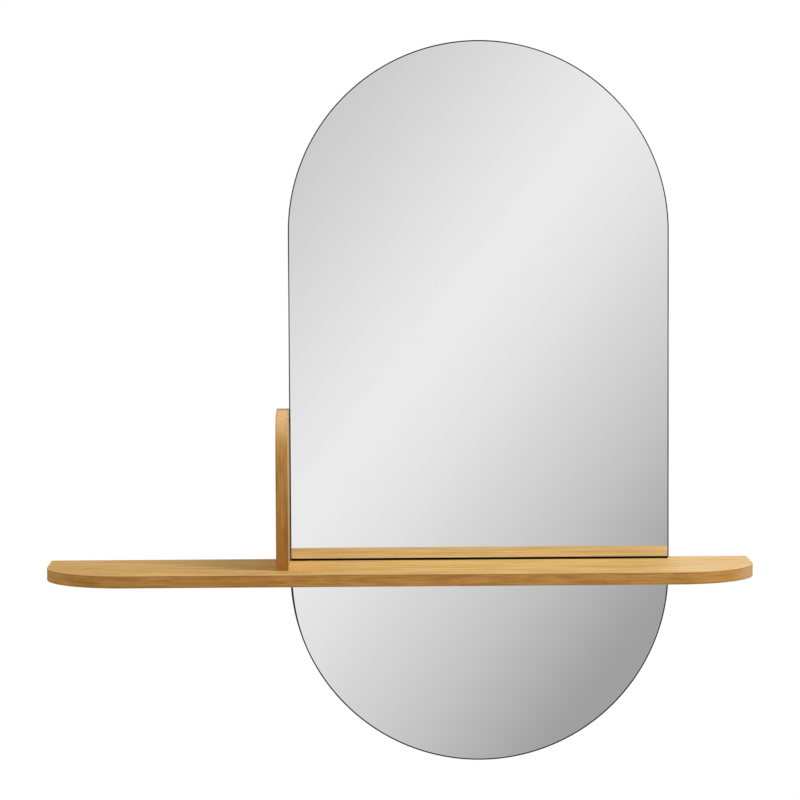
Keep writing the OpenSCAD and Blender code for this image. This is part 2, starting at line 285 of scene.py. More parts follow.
@dataclass(frozen=True)
class Oak:
    """Lacquered oak: wavy growth rings, streaks, fine fibres and open pores along the grain.

    The rings are a sine across the grain whose phase wanders along it. Streaks and fibres are
    noise drawn out along the grain, and pores are the peaks of a still finer one. A pair of
    numbers says how many features lie on a metre along the grain and across it. A band has a
    painted highlight where its edges are eased and a painted sheen over one stretch of its
    length, and is a little darker along its glue joints. Patches of painted light and shade
    come last.
    """

    name: str
    grain: Grain
    light: Colour = (0.790, 0.507, 0.178)
    middle: Colour = (0.688, 0.418, 0.119)
    dark: Colour = (0.545, 0.296, 0.062)
    pore: Colour = (0.360, 0.180, 0.040)
    # Pale tone of the painted highlights on eased edges and of the painted sheen where more light
    # falls.
    painted_sheen: Colour = (0.825, 0.560, 0.285)
    seed: float = 0.0
    rings_per_metre: float = 60.0
    ring_strength: float = 0.22
    drift: Pair = (1.6, 9.0)
    drift_phase: float = 26.0
    sway: Pair = (6.0, 24.0)
    sway_phase: float = 4.0
    cloud: Pair = (1.7, 14.0)
    cloud_strength: float = 0.60
    figure: Pair = (9.0, 58.0)
    figure_strength: float = 0.95
    streaks: Pair = (9.0, 150.0)
    streak_strength: float = 2.1
    fibres: Pair = (30.0, 1000.0)
    fibre_strength: float = 0.6
    pores: Pair = (70.0, 3200.0)
    rays_along: float = 34.0
    ray_strength: float = 0.5
    noise_rough: float = 0.55
    roughness: float = 0.60
    band_width: float = 0.0
    ease: float = 0.6 * MM
    joint_share: float = 0.35
    eased_share: float = 0.85
    pale_stretch: Pair = (0.0, 0.0)
    pale_share: float = 0.5525
    painted_patches: tuple[PaintedPatch, ...] = ()

    def material(self) -> Material:
        """Makes the material.

        Returns:
            The material.
        """
        graph = Graph(bpy.data.materials.new(self.name))
        output, order = self.grain.value
        parts = graph.axes(graph.node("ShaderNodeTexCoord", output=output))
        along, across, through = (parts[index] for index in order)
        grained = {0: along, 1: across, 2: through + self.seed}
        where = graph.node("ShaderNodeCombineXYZ", inputs=grained)

        def drawn_out(features: Pair, detail: float) -> Wire:
            """Noise with its features drawn out along the grain."""
            return graph.noise((*features, features[1]), detail, where, self.noise_rough)

        phase = across * (self.rings_per_metre * TURN)
        phase = phase + drawn_out(self.drift, 2.0) * self.drift_phase
        rings = (phase + drawn_out(self.sway, 1.0) * self.sway_phase).sine()
        fibres = drawn_out(self.fibres, 2.0)
        pores = drawn_out(self.pores, 1.0).ramp(0.60, 0.72)
        rays = drawn_out((self.rays_along, self.streaks[1] * 1.6), 1.0).ramp(0.63, 0.75)
        tone = (
            0.5
            + rings * (self.ring_strength * 0.5)
            + (drawn_out(self.cloud, 2.0) - 0.5) * self.cloud_strength
            + (drawn_out(self.figure, 2.0) - 0.5) * self.figure_strength
            + (drawn_out(self.streaks, 3.0) - 0.5) * self.streak_strength
            + (fibres - 0.5) * self.fibre_strength
            + rays * self.ray_strength
        )
        colour = graph.colours(tone, [(0.12, self.dark), (0.50, self.middle), (0.86, self.light)])
        early_wood = rings.ramp(0.6, -0.7)
        colour = graph.mix(pores * (0.22 + early_wood * 0.45), colour, self.pore)
        if self.band_width > 0:
            # Painted sheen over one stretch of the band's length.
            pale = along.ramp(*self.pale_stretch) * self.pale_share
            colour = graph.mix(pale, colour, self.painted_sheen)
            # The first eased edge takes up a quarter circle of the girth, then comes the face.
            half = self.band_width / 2 - self.ease
            offset = across - (self.ease * math.pi / 2 + half)
            square = offset * offset
            joint = square.ramp((half - 1.9 * MM) ** 2, (half - 0.4 * MM) ** 2)
            eased = square.ramp((half - 0.1 * MM) ** 2, (half + 0.25 * MM) ** 2)
            colour = graph.mix(joint * self.joint_share, colour, self.pore)
            # Painted highlight along the eased edges.
            colour = graph.mix(eased * self.eased_share, colour, self.painted_sheen)
        # Patches of painted light and shade come last.
        for patch in self.painted_patches:
            mask = (across if patch.across else along).ramp(patch.start, patch.end)
            colour = graph.mix(mask * patch.share, colour, patch.tone)
        relief = 0.5 + (fibres - 0.5) * 0.5 - pores * 0.5
        roughness = self.roughness + (fibres - 0.5) * 0.16 + pores * 0.12
        normal = graph.bump(relief, 0.06 * MM, 0.6)
        return graph.finish(colour, roughness, {"Normal": normal, "Specular IOR Level": 0.10})


def band_oak(name: str, width: float, seed: float, pale: Pair, *painted_patches: PaintedPatch) -> Oak:
    """Oak of an edge band, which is redder, darker and finer in its grain than the veneers.

    Args:
        name: Name of the material.
        width: Width of the band.
        seed: Place in the noise, so that no two bands look the same.
        pale: Lengths along the band between which it turns to the paler tone of a painted sheen.
        painted_patches: Patches of painted light and shade on the band.

    Returns:
        The finish.
    """
    return Oak(
        name,
        Grain.ALONG_BAND,
        light=(0.775, 0.416, 0.121),
        middle=(0.690, 0.341, 0.082),
        dark=(0.545, 0.253, 0.060),
        pore=(0.330, 0.140, 0.030),
        seed=seed,
        rings_per_metre=240.0,
        ring_strength=0.16,
        cloud_strength=0.50,
        figure=(30.0, 110.0),
        streaks=(18.0, 320.0),
        streak_strength=1.6,
        band_width=width,
        pale_stretch=pale,
        painted_patches=painted_patches,
    )


@dataclass(frozen=True)
class Silvering:
    """Mirror plate: silvered face, polished arris, glass edge and painted back.

    The attribute inset is the distance from the outline. A painted dark line lies over the arris
    and a little past it on the silver, and painted shade makes it wider beside the fin, under the
    shelf and towards the foot. Inside it a thin painted highlight makes a line of the silver
    brighter than the rest. The arris carries a painted reflection: paler at the left and at the
    top, and brown beside the fin. A pair of lengths says where a mask starts and where it is full.
    """

    name: str = "mirror_glass"
    silver: Colour = (0.925, 0.925, 0.925)
    # Painted highlight: a thin line of the silver just inside the dark line.
    rim_highlight: Colour = (1.000, 1.000, 1.000)
    arris_dark: Colour = (0.008, 0.010, 0.008)
    # Painted reflection on the arris, paler at the left and towards the top.
    arris_reflection: Colour = (0.140, 0.145, 0.140)
    glass_edge: Colour = (0.020, 0.048, 0.038)
    backing: Colour = (0.165, 0.180, 0.185)
    # Painted reflection of the fin's brown wood in the arris beside it.
    fin_reflection: Colour = (0.055, 0.027, 0.005)
    # Reach of the painted dark line, and how much painted shade widens it beside the fin and under
    # the shelf.
    dark_end: float = 1.7 * MM
    fin_shade: float = 0.15 * MM
    shelf_shade: float = 1.25 * MM
    rim_width: float = 1.3 * MM
    blur: float = 0.1 * MM
    rear_y: float = -20 * MM
    middle_height: float = -0.325
    past_fin: Pair = (12 * MM, 8 * MM)
    near_shelf: Pair = (-110 * MM, -8 * MM)
    at_foot: Pair = (-80 * MM, -180 * MM)
    foot_share: float = 0.22
    right_loss: float = 0.75

    def material(self) -> Material:
        """Makes the material.

        Returns:
            The material.
        """
        graph = Graph(bpy.data.materials.new(self.name))
        inset = graph.node("ShaderNodeAttribute", {"attribute_name": "inset"}, output="Fac")
        x, y, z = graph.axes()
        rear = y.ramp(self.rear_y - 0.3 * MM, self.rear_y - 0.1 * MM)
        metal = inset.ramp(0.0, self.blur) * (1.0 - rear)
        # Masks where painted shade widens the dark line; the first also places the fin's painted
        # reflection.
        by_fin, under_shelf = self.shaded(x, z)
        beyond = inset - self.dark_end - (by_fin * self.fin_shade + under_shelf * self.shelf_shade)
        silvered = beyond.ramp(-self.blur, self.blur)
        past_rim = beyond.ramp(self.blur, self.rim_width)
        smears = graph.noise(9.0, 3.0).ramp(0.45, 0.75)
        specks = graph.noise(420.0, 2.0).ramp(0.35, 0.75)
        # Share of the arris's painted reflection: more at the left and towards the top, with a
        # random ripple.
        height = z - self.middle_height
        left = x.ramp(-0.05, -0.245) * height.ramp(-0.26, 0.05)
        ripple = graph.noise(7.0, 1.0).ramp(0.42, 0.66)
        share = left * 0.35 + ripple * (0.20 + height.ramp(-0.45, 0.0) * 0.40)
        arris = graph.mix(share, self.arris_dark, self.arris_reflection)
        # Beside the fin the arris takes the fin's painted reflection.
        edge = graph.mix(metal, self.glass_edge, graph.mix(by_fin, arris, self.fin_reflection))
        # Painted highlight line of the silver inside the dark line.
        silver = graph.mix(past_rim, self.rim_highlight, self.silver)
        backing = graph.mix(specks * 0.25, self.backing, self.arris_dark)
        colour = graph.mix(rear, graph.mix(silvered, edge, silver), backing)
        polish = 0.012 + smears * 0.018
        rough = silvered * polish + (1.0 - silvered) * (0.09 + specks * 0.03 + rear * 0.45)
        return graph.finish(colour, rough, {"Metallic": metal, "IOR": 1.5})

    def shaded(self, x: Wire, z: Wire) -> tuple[Wire, Wire]:
        """Masks of the plate beside the fin and just under the shelf, where painted shade widens
        its dark edge.

        The second is less on the right, and a little of it comes back at the foot.

        Args:
            x: Place to the right.
            z: Height.

        Returns:
            The two masks.
        """
        low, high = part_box("fin_core")
        upright = z.ramp(low.z - 2 * MM, low.z) * z.ramp(high.z + 3 * MM, high.z - 1 * MM)
        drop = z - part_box("shelf_core")[0].z
        near = drop.ramp(*self.near_shelf) * drop.ramp(2 * MM, 0.0)
        near = near * (1.0 - x.ramp(-0.1, 0.1) * self.right_loss)
        foot = drop.ramp(*self.at_foot) * self.foot_share
        return (x - high.x).ramp(*self.past_fin) * upright, near + foot


@dataclass(frozen=True)
class Fibreboard:
    """Raw edge of fine fibreboard: brown, with pale and dark fibres and a soft nap."""

    name: str = "fibreboard"
    base: Colour = (0.330, 0.215, 0.125)
    fibre: Colour = (0.470, 0.340, 0.215)
    speck: Colour = (0.170, 0.100, 0.055)

    def material(self) -> Material:
        """Makes the material.

        Returns:
            The material.
        """
        graph = Graph(bpy.data.materials.new(self.name))
        felt = graph.noise((900.0, 900.0, 2400.0), 3.0)
        specks = graph.noise(1900.0, 1.0).ramp(0.60, 0.74)
        pressed = graph.noise((12.0, 12.0, 160.0), 2.0).ramp(0.3, 0.8)
        colour = graph.mix(felt.ramp(0.35, 0.75) * 0.6, self.base, self.fibre)
        colour = graph.mix(specks * 0.55, colour, self.speck)
        colour = graph.mix(pressed * 0.25, colour, self.speck)
        nap = graph.bump(felt, 0.12 * MM, 0.7)
        return graph.finish(colour, 0.82 + (felt - 0.5) * 0.2, {"Normal": nap})


@dataclass(frozen=True)
class BlackLacquer:
    """Sprayed black lacquer with a faint orange peel, grit and a trace of dust."""

    name: str = "panel_black"
    base: Colour = (0.016, 0.0155, 0.015)
    dusty: Colour = (0.075, 0.072, 0.068)

    def material(self) -> Material:
        """Makes the material.

        Returns:
            The material.
        """
        graph = Graph(bpy.data.materials.new(self.name))
        drift = graph.noise(7.0, 3.0)
        grit = graph.noise(2600.0, 1.0).ramp(0.62, 0.72)
        dust = 0.04 + drift.ramp(0.45, 0.8) * 0.14 + grit * 0.10
        peel = graph.bump(graph.noise(520.0, 2.0), 0.05 * MM, 0.5)
        colour = graph.mix(dust, self.base, self.dusty)
        roughness = 0.42 + drift * 0.14 + dust * 0.3
        return graph.finish(colour, roughness, {"Normal": peel, "Specular IOR Level": 0.3})


@dataclass(frozen=True)
class Aluminium:
    """Extruded aluminium: fine die lines along X and a dull silver sheen."""

    name: str = "rail_aluminium"
    base: Colour = (0.640, 0.645, 0.655)
    dull: Colour = (0.450, 0.455, 0.465)

    def material(self) -> Material:
        """Makes the material.

        Returns:
            The material.
        """
        graph = Graph(bpy.data.materials.new(self.name))
        lines = graph.noise((3.0, 2600.0, 2600.0), 3.0, rough=0.6)
        cloud = graph.noise(38.0, 3.0)
        share = lines.ramp(0.3, 0.7) * 0.55 + cloud.ramp(0.4, 0.7) * 0.25
        colour = graph.mix(share, self.base, self.dull)
        relief = graph.bump(lines, 0.03 * MM, 0.5)
        roughness = 0.27 + lines * 0.18 + cloud * 0.06
        return graph.finish(colour, roughness, {"Normal": relief, "Metallic": 1.0})


@dataclass(frozen=True)
class ZincPlate:
    """Bright zinc plating with the faint yellow and blue clouds of its passivation."""

    name: str = "zinc_screw"
    base: Colour = (0.690, 0.690, 0.680)
    yellow: Colour = (0.700, 0.650, 0.500)
    blue: Colour = (0.560, 0.600, 0.660)

    def material(self) -> Material:
        """Makes the material.

        Returns:
            The material.
        """
        graph = Graph(bpy.data.materials.new(self.name))
        cloud = graph.noise(260.0, 3.0)
        scratches = graph.noise(3400.0, 2.0)
        colour = graph.mix(cloud.ramp(0.50, 0.75) * 0.7, self.base, self.yellow)
        colour = graph.mix(cloud.ramp(0.48, 0.22) * 0.7, colour, self.blue)
        relief = graph.bump(scratches, 0.01 * MM, 0.4)
        return graph.finish(colour, 0.24 + scratches * 0.2, {"Normal": relief, "Metallic": 1.0})


@dataclass(frozen=True)
class Speckled:
    """Plain dense material with a fine grain: rubber, foam or beech."""

    name: str
    base: Colour
    speck: Colour
    grain_per_metre: float | Triple
    speck_share: float
    roughness: float
    relief: float

    def material(self) -> Material:
        """Makes the material.

        Returns:
            The material.
        """
        graph = Graph(bpy.data.materials.new(self.name))
        grain = graph.noise(self.grain_per_metre, 3.0, rough=0.6)
        specks = grain.ramp(0.45, 0.70) * self.speck_share
        colour = graph.mix(specks, self.base, self.speck)
        relief = graph.bump(grain, self.relief, 0.6)
        return graph.finish(colour, self.roughness + (grain - 0.5) * 0.2, {"Normal": relief})


# ---- surfaces


@dataclass
class Skin:
    """Closed surface on a grid: rows of points, each row running once round.

    Attributes:
        points: Array of rows x columns x 3. The first and last rows are closed by a flat face.
        smooth: Array of (rows - 1) x columns that says which quads are shaded smooth.
        measures: Array of rows x (columns + 1) x 2 with the pattern coordinates in metres.
        inset: Array of one number per row: its distance from the outline.
    """

    points: Array
    smooth: Array | bool = True
    measures: Array | None = None
    inset: Array | None = None

    def moved(self, origin: Sequence[float], turn: Array = np.eye(3)) -> "Skin":
        """A copy on other axes, which are the columns of turn, and with its origin moved."""
        points = self.points @ turn.T + np.asarray(origin)
        return Skin(points, self.smooth, self.measures, self.inset)

    def faces(self) -> tuple[Array, Array, Array]:
        """Quads and the two end faces, turned so that all of them point outwards.

        The sum of the signed volumes of the cones from the origin to each face tells whether
        the grid came out inside out, and then every face is reversed.

        Returns:
            Quads as point indices, the two end faces, and the quads' corners as (row, column).
        """
        rows, cols = self.points.shape[:2]
        row, col = np.mgrid[0 : rows - 1, 0:cols]
        corner_rows = np.stack([row, row, row + 1, row + 1], -1).reshape(-1, 4)
        corner_cols = np.stack([col, col + 1, col + 1, col], -1).reshape(-1, 4)
        quads = corner_rows * cols + corner_cols % cols
        ring = np.arange(cols)
        ends = np.stack([ring[::-1], ring + (rows - 1) * cols])
        corners = np.stack([corner_rows, corner_cols], -1)
        fans = [self.points.reshape(-1, 3)[faces] for faces in (quads, ends)]
        volume = sum((fan[:, :1] * np.cross(fan[:, 1:-1], fan[:, 2:])).sum() for fan in fans)
        if volume < 0:
            return quads[:, ::-1], ends[:, ::-1], corners[:, ::-1]
        return quads, ends, corners


def solid_mesh(name: str, skins: Sequence[Skin]) -> bpy.types.Mesh:
    """Puts one or more closed skins into one mesh.

    Args:
        name: Name of the mesh.
        skins: Skins of separate solids.

    Returns:
        The mesh, with a UV map and the inset attribute where the skins have them.
    """
    points = np.concatenate([skin.points.reshape(-1, 3) for skin in skins])
    faces: list[list[int]] = []
    smooth: list[Array] = []
    measures: list[Array] = []
    start = 0
    for skin in skins:
        rows, cols = skin.points.shape[:2]
        quads, ends, corners = skin.faces()
        faces += (quads + start).tolist() + (ends + start).tolist()
        start += rows * cols
        smooth += [np.broadcast_to(skin.smooth, (rows - 1, cols)).ravel(), np.zeros(2, bool)]
        if skin.measures is not None:
            grid = skin.measures
            measures += [grid[corners[..., 0], corners[..., 1]].reshape(-1, 2)]
            measures += [grid[0, :-1], grid[-1, :-1]]
    mesh = bpy.data.meshes.new(name)
    mesh.from_pydata(points, [], faces)
    mesh.polygons.foreach_set("use_smooth", np.concatenate(smooth))
    if measures:
        layer = mesh.uv_layers.new(name="along_and_across")
        layer.data.foreach_set("uv", np.concatenate(measures).astype(np.float32).ravel())
    if skins[0].inset is not None:
        values = [np.repeat(skin.inset, skin.points.shape[1]) for skin in skins]
        attribute = mesh.attributes.new("inset", "FLOAT", "POINT")
        attribute.data.foreach_set("value", np.concatenate(values).astype(np.float32))
    mesh.update()
    mesh.validate()
    return mesh


def add_object(name: str, data: bpy.types.ID) -> bpy.types.Object:
    """Adds an object to the scene.

    Args:
        name: Name of the object.
        data: Its mesh, lamp or camera.

    Returns:
        The object, at the origin.
    """
    made = bpy.data.objects.new(name, data)
    bpy.context.scene.collection.objects.link(made)
    return made


def add_piece(
    name: str, skins: Sequence[Skin], material: Material, slot: str, nodes: Sequence[str]
) -> None:
    """Adds a new piece that stands for nodes of the frame.

    Args:
        name: Name of the piece.
        skins: Closed surfaces of the piece, in the frame.
        material: Finish of the piece.
        slot: Material slot of the record that the finish belongs to. Not used.
        nodes: Nodes of the frame that the piece stands for.
    """
    mesh = solid_mesh(name, skins)
    mesh.materials.append(material)
    piece = add_object(name, mesh)
    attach(piece, BODY)
    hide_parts(*nodes)
    log.info("%s: %d solids, %d faces, for %s", name, len(skins), len(mesh.polygons), nodes)


def dress(material: Material, *nodes: str) -> None:
    """Gives nodes of the frame their finish.

    Args:
        material: Finish for all material slots of the nodes.
        nodes: Names of the nodes.
    """
    for node in nodes:
        for slot in frame["nodes"][node].material_slots:
            slot.material = material
        log.info("%s: %s", node, material.name)


def running(points: Array) -> Array:
    """Distance along a line of points from the first to each of them."""
    steps = np.linalg.norm(np.diff(points, axis=0), axis=1)
    return np.concatenate([[0.0], np.cumsum(steps)])


def revolved(radius: Array, height: Array, cols: int) -> Array:
    """Rows of points round Z: x = r cos t, y = r sin t, z = h, with a row for each r and h."""
    angle = np.arange(cols) * (TURN / cols)
    return np.stack(np.broadcast_arrays(radius * np.cos(angle), radius * np.sin(angle), height), -1)


def axes_pointing(down: Triple) -> Array:
    """Axes, as the columns of a matrix, whose -Z points in a direction along Y or Z."""
    up = -np.array(down)
    return np.stack([TO_RIGHT, np.cross(up, TO_RIGHT), up], axis=1)


# ---- sub-assemblies


@dataclass
class MirrorPlates:
    """The two plates of mirror glass, an arch above the shelf and a bowl below it."""

    arris: float = 1.2 * MM
    rear_arris: float = 0.4 * MM
    soft: float = 0.05 * MM
    flat: float = 0.08 * MM
    rim: float = 3.0 * MM
    corner_r: float = 1.5 * MM
    least_r: float = 0.1 * MM
    arc_steps: int = 180
    corner_steps: int = 6
    finish: Silvering = Silvering()

    def outline(self, radius: float, edge: float, inset: float) -> Array:
        """Round end over a straight edge, drawn in by the inset, in X and height.

        The round end is half a circle about the origin. Straight sides go down from it to the
        edge, where small quarter circles round the two corners.

        Args:
            radius: Radius of the round end.
            edge: Height of the straight edge, which is negative.
            inset: Distance from the full outline.

        Returns:
            Points once round the outline.
        """
        dome = np.linspace(0, math.pi, self.arc_steps + 1)[:, None]
        turn = np.linspace(0, math.pi / 2, self.corner_steps + 1)[:, None]
        reach = max(self.corner_r, inset + self.least_r)
        small = reach - inset
        right, up = np.array([1.0, 0.0]), np.array([0.0, 1.0])
        left_centre = np.array([reach - radius, edge + reach])
        right_centre = np.array([radius - reach, edge + reach])
        return np.concatenate(
            [
                (radius - inset) * (np.cos(dome) * right + np.sin(dome) * up),
                left_centre - small * (np.cos(turn) * right + np.sin(turn) * up),
                right_centre + small * (np.sin(turn) * right - np.cos(turn) * up),
            ]
        )

    def plate(self, node: str, upside_down: bool) -> Skin:
        """One plate: rings from its rear face over its ground edge to its front face.

        Each ring is the outline drawn in by a step, at the depth of that step. The arris is a
        flat of 45 degrees whose two sides are softened.

        Args:
            node: Node of the frame whose place the plate takes.
            upside_down: True if the round end points down.

        Returns:
            The plate.
        """
        low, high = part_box(node)
        radius = (high.x - low.x) / 2
        flip = -1.0 if upside_down else 1.0
        centre = low.z + radius if upside_down else high.z - radius
        edge = centre - high.z if upside_down else low.z - centre
        wide = self.arris + self.flat
        rings = np.array(
            [
                (self.rear_arris, high.y),
                (0.0, high.y - self.rear_arris),
                (0.0, low.y + wide),
                (self.soft, low.y + self.arris - self.soft),
                (self.arris - self.soft, low.y + self.soft),
                (wide, low.y),
                (wide + self.rim, low.y),
            ]
        )
        shape = np.stack([self.outline(radius, edge, inset) for inset in rings[:, 0]])
        depth = np.broadcast_to(rings[:, 1, None], shape.shape[:2])
        points = np.stack([shape[..., 0], depth, centre + flip * shape[..., 1]], -1)
        smooth = np.array([False, False, True, False, True, False])[:, None]
        return Skin(points, smooth, inset=rings[:, 0])

    def build(self) -> None:
        """Adds both plates."""
        silver = self.finish.material()
        for name, node, down in (
            ("arch_mirror_plate", "arch_glass", False),
            ("bowl_mirror_plate", "bowl_glass", True),
        ):
            add_piece(name, [self.plate(node, down)], silver, "mirror_glass", [node])


@dataclass(frozen=True)
class EdgeBand:
    """Strip of solid oak carried round the edge of a board, with its outer edges eased."""

    thickness: float = 1.0 * MM
    ease: float = 0.6 * MM
    support: float = 0.35 * MM
    ease_steps: int = 6
    corner_steps: int = 40

    def section(self, width: float) -> tuple[Array, Array]:
        """Cross-section of the band as points (outwards, across the board).

        Two quarter circles ease the outer edges, and a narrow flat beside each keeps the
        shading of the wide face even.

        Args:
            width: Thickness of the board.

        Returns:
            The points and, for each stretch between two of them, whether it is smooth.
        """
        turn = np.linspace(0, math.pi / 2, self.ease_steps + 1)
        low = np.stack([np.sin(turn) - 1, 1 - np.cos(turn)], -1) * self.ease
        high = low[::-1] * (1, -1) + (0, width)
        flats = np.array([(0, self.ease + self.support), (0, width - self.ease - self.support)])
        inner = np.array([(-self.thickness, width), (-self.thickness, 0)])
        points = np.concatenate([low, flats, high, inner])
        smooth = np.ones(len(points), bool)
        smooth[-2] = False
        return points, smooth

    def track(self, corners: Sequence[Sequence[float]], radius: float) -> tuple[Array, Array]:
        """Line through right-angled corners, with the inner ones rounded.

        Between a run with direction a and the next with direction b, the arc is the centre
        plus the radius times (sin t a - cos t b), with t from zero to a quarter turn. That
        bracket is the outward normal too.

        Args:
            corners: Start, inner corners and end of the line.
            radius: Radius of the round corners.

        Returns:
            The points of the line and its outward normals.
        """
        line = np.asarray(corners, float)
        ways = np.diff(line, axis=0)
        ways /= np.linalg.norm(ways, axis=1)[:, None]
        turn = np.linspace(0, math.pi / 2, self.corner_steps + 1)[:, None]
        points, normals = [line[:1]], [-ways[1:2]]
        for corner, a, b in zip(line[1:-1], ways[:-1], ways[1:]):
            outward = np.sin(turn) * a - np.cos(turn) * b
            points.append(corner + radius * (b - a) + radius * outward)
            normals.append(outward)
        points.append(line[-1:])
        normals.append(ways[-2:-1])
        return np.concatenate(points), np.concatenate(normals)

    def along(
        self, corners: Sequence[Sequence[float]], radius: float, width: float, to_frame: Array
    ) -> Skin:
        """The band carried along a line with rounded corners, in a plane through the origin.

        A point is the line's point, plus its outward normal times the section's first part,
        plus the board's own axis times the section's second part.

        Args:
            corners: Corners of the band's outer face in the plane of the board.
            radius: Radius of the round corners.
            width: Thickness of the board.
            to_frame: Matrix whose columns are the plane's two axes and the board's axis.

        Returns:
            The band.
        """
        section, smooth = self.section(width)
        line, normals = self.track(corners, radius)
        flat = line[:, None] + normals[:, None] * section[None, :, :1]
        across = np.broadcast_to(section[None, :, 1:], (*flat.shape[:2], 1))
        girth = running(np.concatenate([section, section[:1]]))
        measures = np.stack(np.meshgrid(running(line), girth, indexing="ij"), -1)
        return Skin(np.concatenate([flat, across], -1) @ to_frame.T, smooth[None, :], measures)


@dataclass
class Shelf:
    """Veneered shelf: fibreboard core, two oak veneers and a band round three edges."""

    corner_r: float = 105 * MM
    # Painted light: the top is paler towards its right end, where more light falls.
    painted_pale_end: PaintedPatch = PaintedPatch(0.235, 0.275, Oak.painted_sheen, 0.325)
    band: EdgeBand = EdgeBand()

    def build(self, core: Material) -> None:
        """Adds the band and dresses the board.

        Args:
            core: Finish of the fibreboard.
        """
        low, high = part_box("shelf_edge_band")
        corners = [(low.x, high.y), (low.x, low.y), (high.x, low.y), (high.x, high.y)]
        skin = self.band.along(corners, self.corner_r, high.z - low.z, np.eye(3))
        skin = skin.moved((0, 0, low.z))
        # The band's pale stretch is a painted sheen at its right-hand corner, where more light
        # falls.
        oak = band_oak("shelf_band_oak", high.z - low.z, 2.47, (1.025, 1.065))
        add_piece("shelf_oak_band", [skin], oak.material(), "oak_edge", ["shelf_edge_band"])
        top = Oak("shelf_top_oak", Grain.ALONG_X, painted_patches=(self.painted_pale_end,))
        dress(top.material(), "shelf_top_veneer")
        dress(Oak("shelf_bottom_oak", Grain.ALONG_X, seed=1.7).material(), "shelf_bottom_veneer")
        dress(core, "shelf_core")


@dataclass
class Fin:
    """Veneered fin that stands on the shelf, with a band up its front and over its top.

    The band's foot is painted duller, against the warm light that the shelf bounces onto it, and
    the right face has painted shade: it is darker than the left, and darkest in the crevice by the
    glass.
    """

    shoulder_r: float = 60 * MM
    # Painted light: a duller tone at the band's foot, against the shelf's warm bounced light.
    painted_dull_foot: PaintedPatch = PaintedPatch(65 * MM, 0.0, (0.620, 0.370, 0.165), 0.55)
    # Painted shade in the crevice between the fin's right face and the glass.
    crevice_shade: Colour = (0.045, 0.026, 0.008)
    band: EdgeBand = EdgeBand()

    def build(self, core: Material) -> None:
        """Adds the band and dresses the board.

        Args:
            core: Finish of the fibreboard.
        """
        low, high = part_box("fin_edge_band")
        corners = [(low.y, low.z), (low.y, high.z), (high.y, high.z)]
        to_frame = np.array([[0.0, 0.0, 1.0], [1.0, 0.0, 0.0], [0.0, 1.0, 0.0]])
        skin = self.band.along(corners, self.shoulder_r, high.x - low.x, to_frame)
        skin = skin.moved((low.x, 0, 0))
        # The band's pale stretch is a painted sheen on the shoulder, which faces the light.
        oak = band_oak("fin_band_oak", high.x - low.x, 5.87, (0.150, 0.195), self.painted_dull_foot)
        add_piece("fin_oak_band", [skin], oak.material(), "oak_edge", ["fin_edge_band"])
        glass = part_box("arch_glass")[0].y
        # The right face is the left face's oak painted darker as shade.
        right = Oak(
            "fin_right_oak",
            Grain.ALONG_Z,
            light=(0.705, 0.455, 0.165),
            middle=(0.612, 0.372, 0.110),
            dark=(0.480, 0.268, 0.060),
            seed=2.9,
            painted_patches=(PaintedPatch(glass - 3 * MM, glass + 1 * MM, self.crevice_shade, 0.9, across=True),),
        )
        dress(right.material(), "fin_right_veneer")
        dress(Oak("fin_left_oak", Grain.ALONG_Z, seed=4.3).material(), "fin_left_veneer")
        dress(core, "fin_core")


@dataclass
class BackPanel:
    """Black panel behind the glass, with its tape and its rubber bumpers."""

    bumper_d: float = 20 * MM
    bumper_bevel: float = 0.3 * MM
    bumper_rim_r: float = 0.8 * MM
    bumper_dish: float = 0.35 * MM
    bumper_cols: int = 64
    lacquer: BlackLacquer = BlackLacquer()
    foam: Speckled = Speckled(
        "foam_tape", (0.050, 0.050, 0.052), (0.012, 0.012, 0.013), 900.0, 0.8, 0.85, 0.2 * MM
    )
    rubber: Speckled = Speckled(
        "bumper_rubber", (0.028, 0.028, 0.029), (0.060, 0.059, 0.058), 1500.0, 0.5, 0.62, 0.04 * MM
    )

    def bumper(self, radius: float, height: float) -> Skin:
        """Rubber disc from z = 0 to its height, with a round rim and a shallow dish on top.

        The rim is a quarter circle, and the dish follows a cosine from rim to middle.

        Args:
            radius: Radius of the disc.
            height: Thickness of the disc.

        Returns:
            The disc, with its own -Z on the panel.
        """
        turn = np.linspace(0, math.pi / 2, 7)
        rim = radius - self.bumper_rim_r
        reach = np.linspace(1, 0.02, 10)[1:]
        dish = self.bumper_dish * 0.5 * (1 + np.cos(math.pi * reach))
        widths = [radius - self.bumper_bevel, radius]
        radii = np.concatenate([widths, rim + self.bumper_rim_r * np.cos(turn), rim * reach])
        rise = height - self.bumper_rim_r + self.bumper_rim_r * np.sin(turn)
        heights = np.concatenate([[0.0, self.bumper_bevel], rise, height - dish])
        return Skin(revolved(radii[:, None], heights[:, None], self.bumper_cols))

    def build(self) -> None:
        """Adds the bumpers and dresses panel and tape."""
        dress(self.lacquer.material(), "back_panel")
        dress(self.foam.material(), "arch_tape_strips", "bowl_tape_strips")
        low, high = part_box("wall_bumpers")
        radius = self.bumper_d / 2
        side_x = high.x - radius
        upper = (side_x, high.z - radius)
        lower = (side_x * math.sin(math.pi / 4), low.z + radius)
        spots = [(side * x, low.y, z) for side in (-1, 1) for x, z in (upper, lower)]
        skin = self.bumper(radius, high.y - low.y)
        skins = [skin.moved(spot, axes_pointing(TO_FRONT)) for spot in spots]
        rubber = self.rubber.material()
        add_piece("rubber_wall_bumpers", skins, rubber, "bumper_rubber", ["wall_bumpers"])


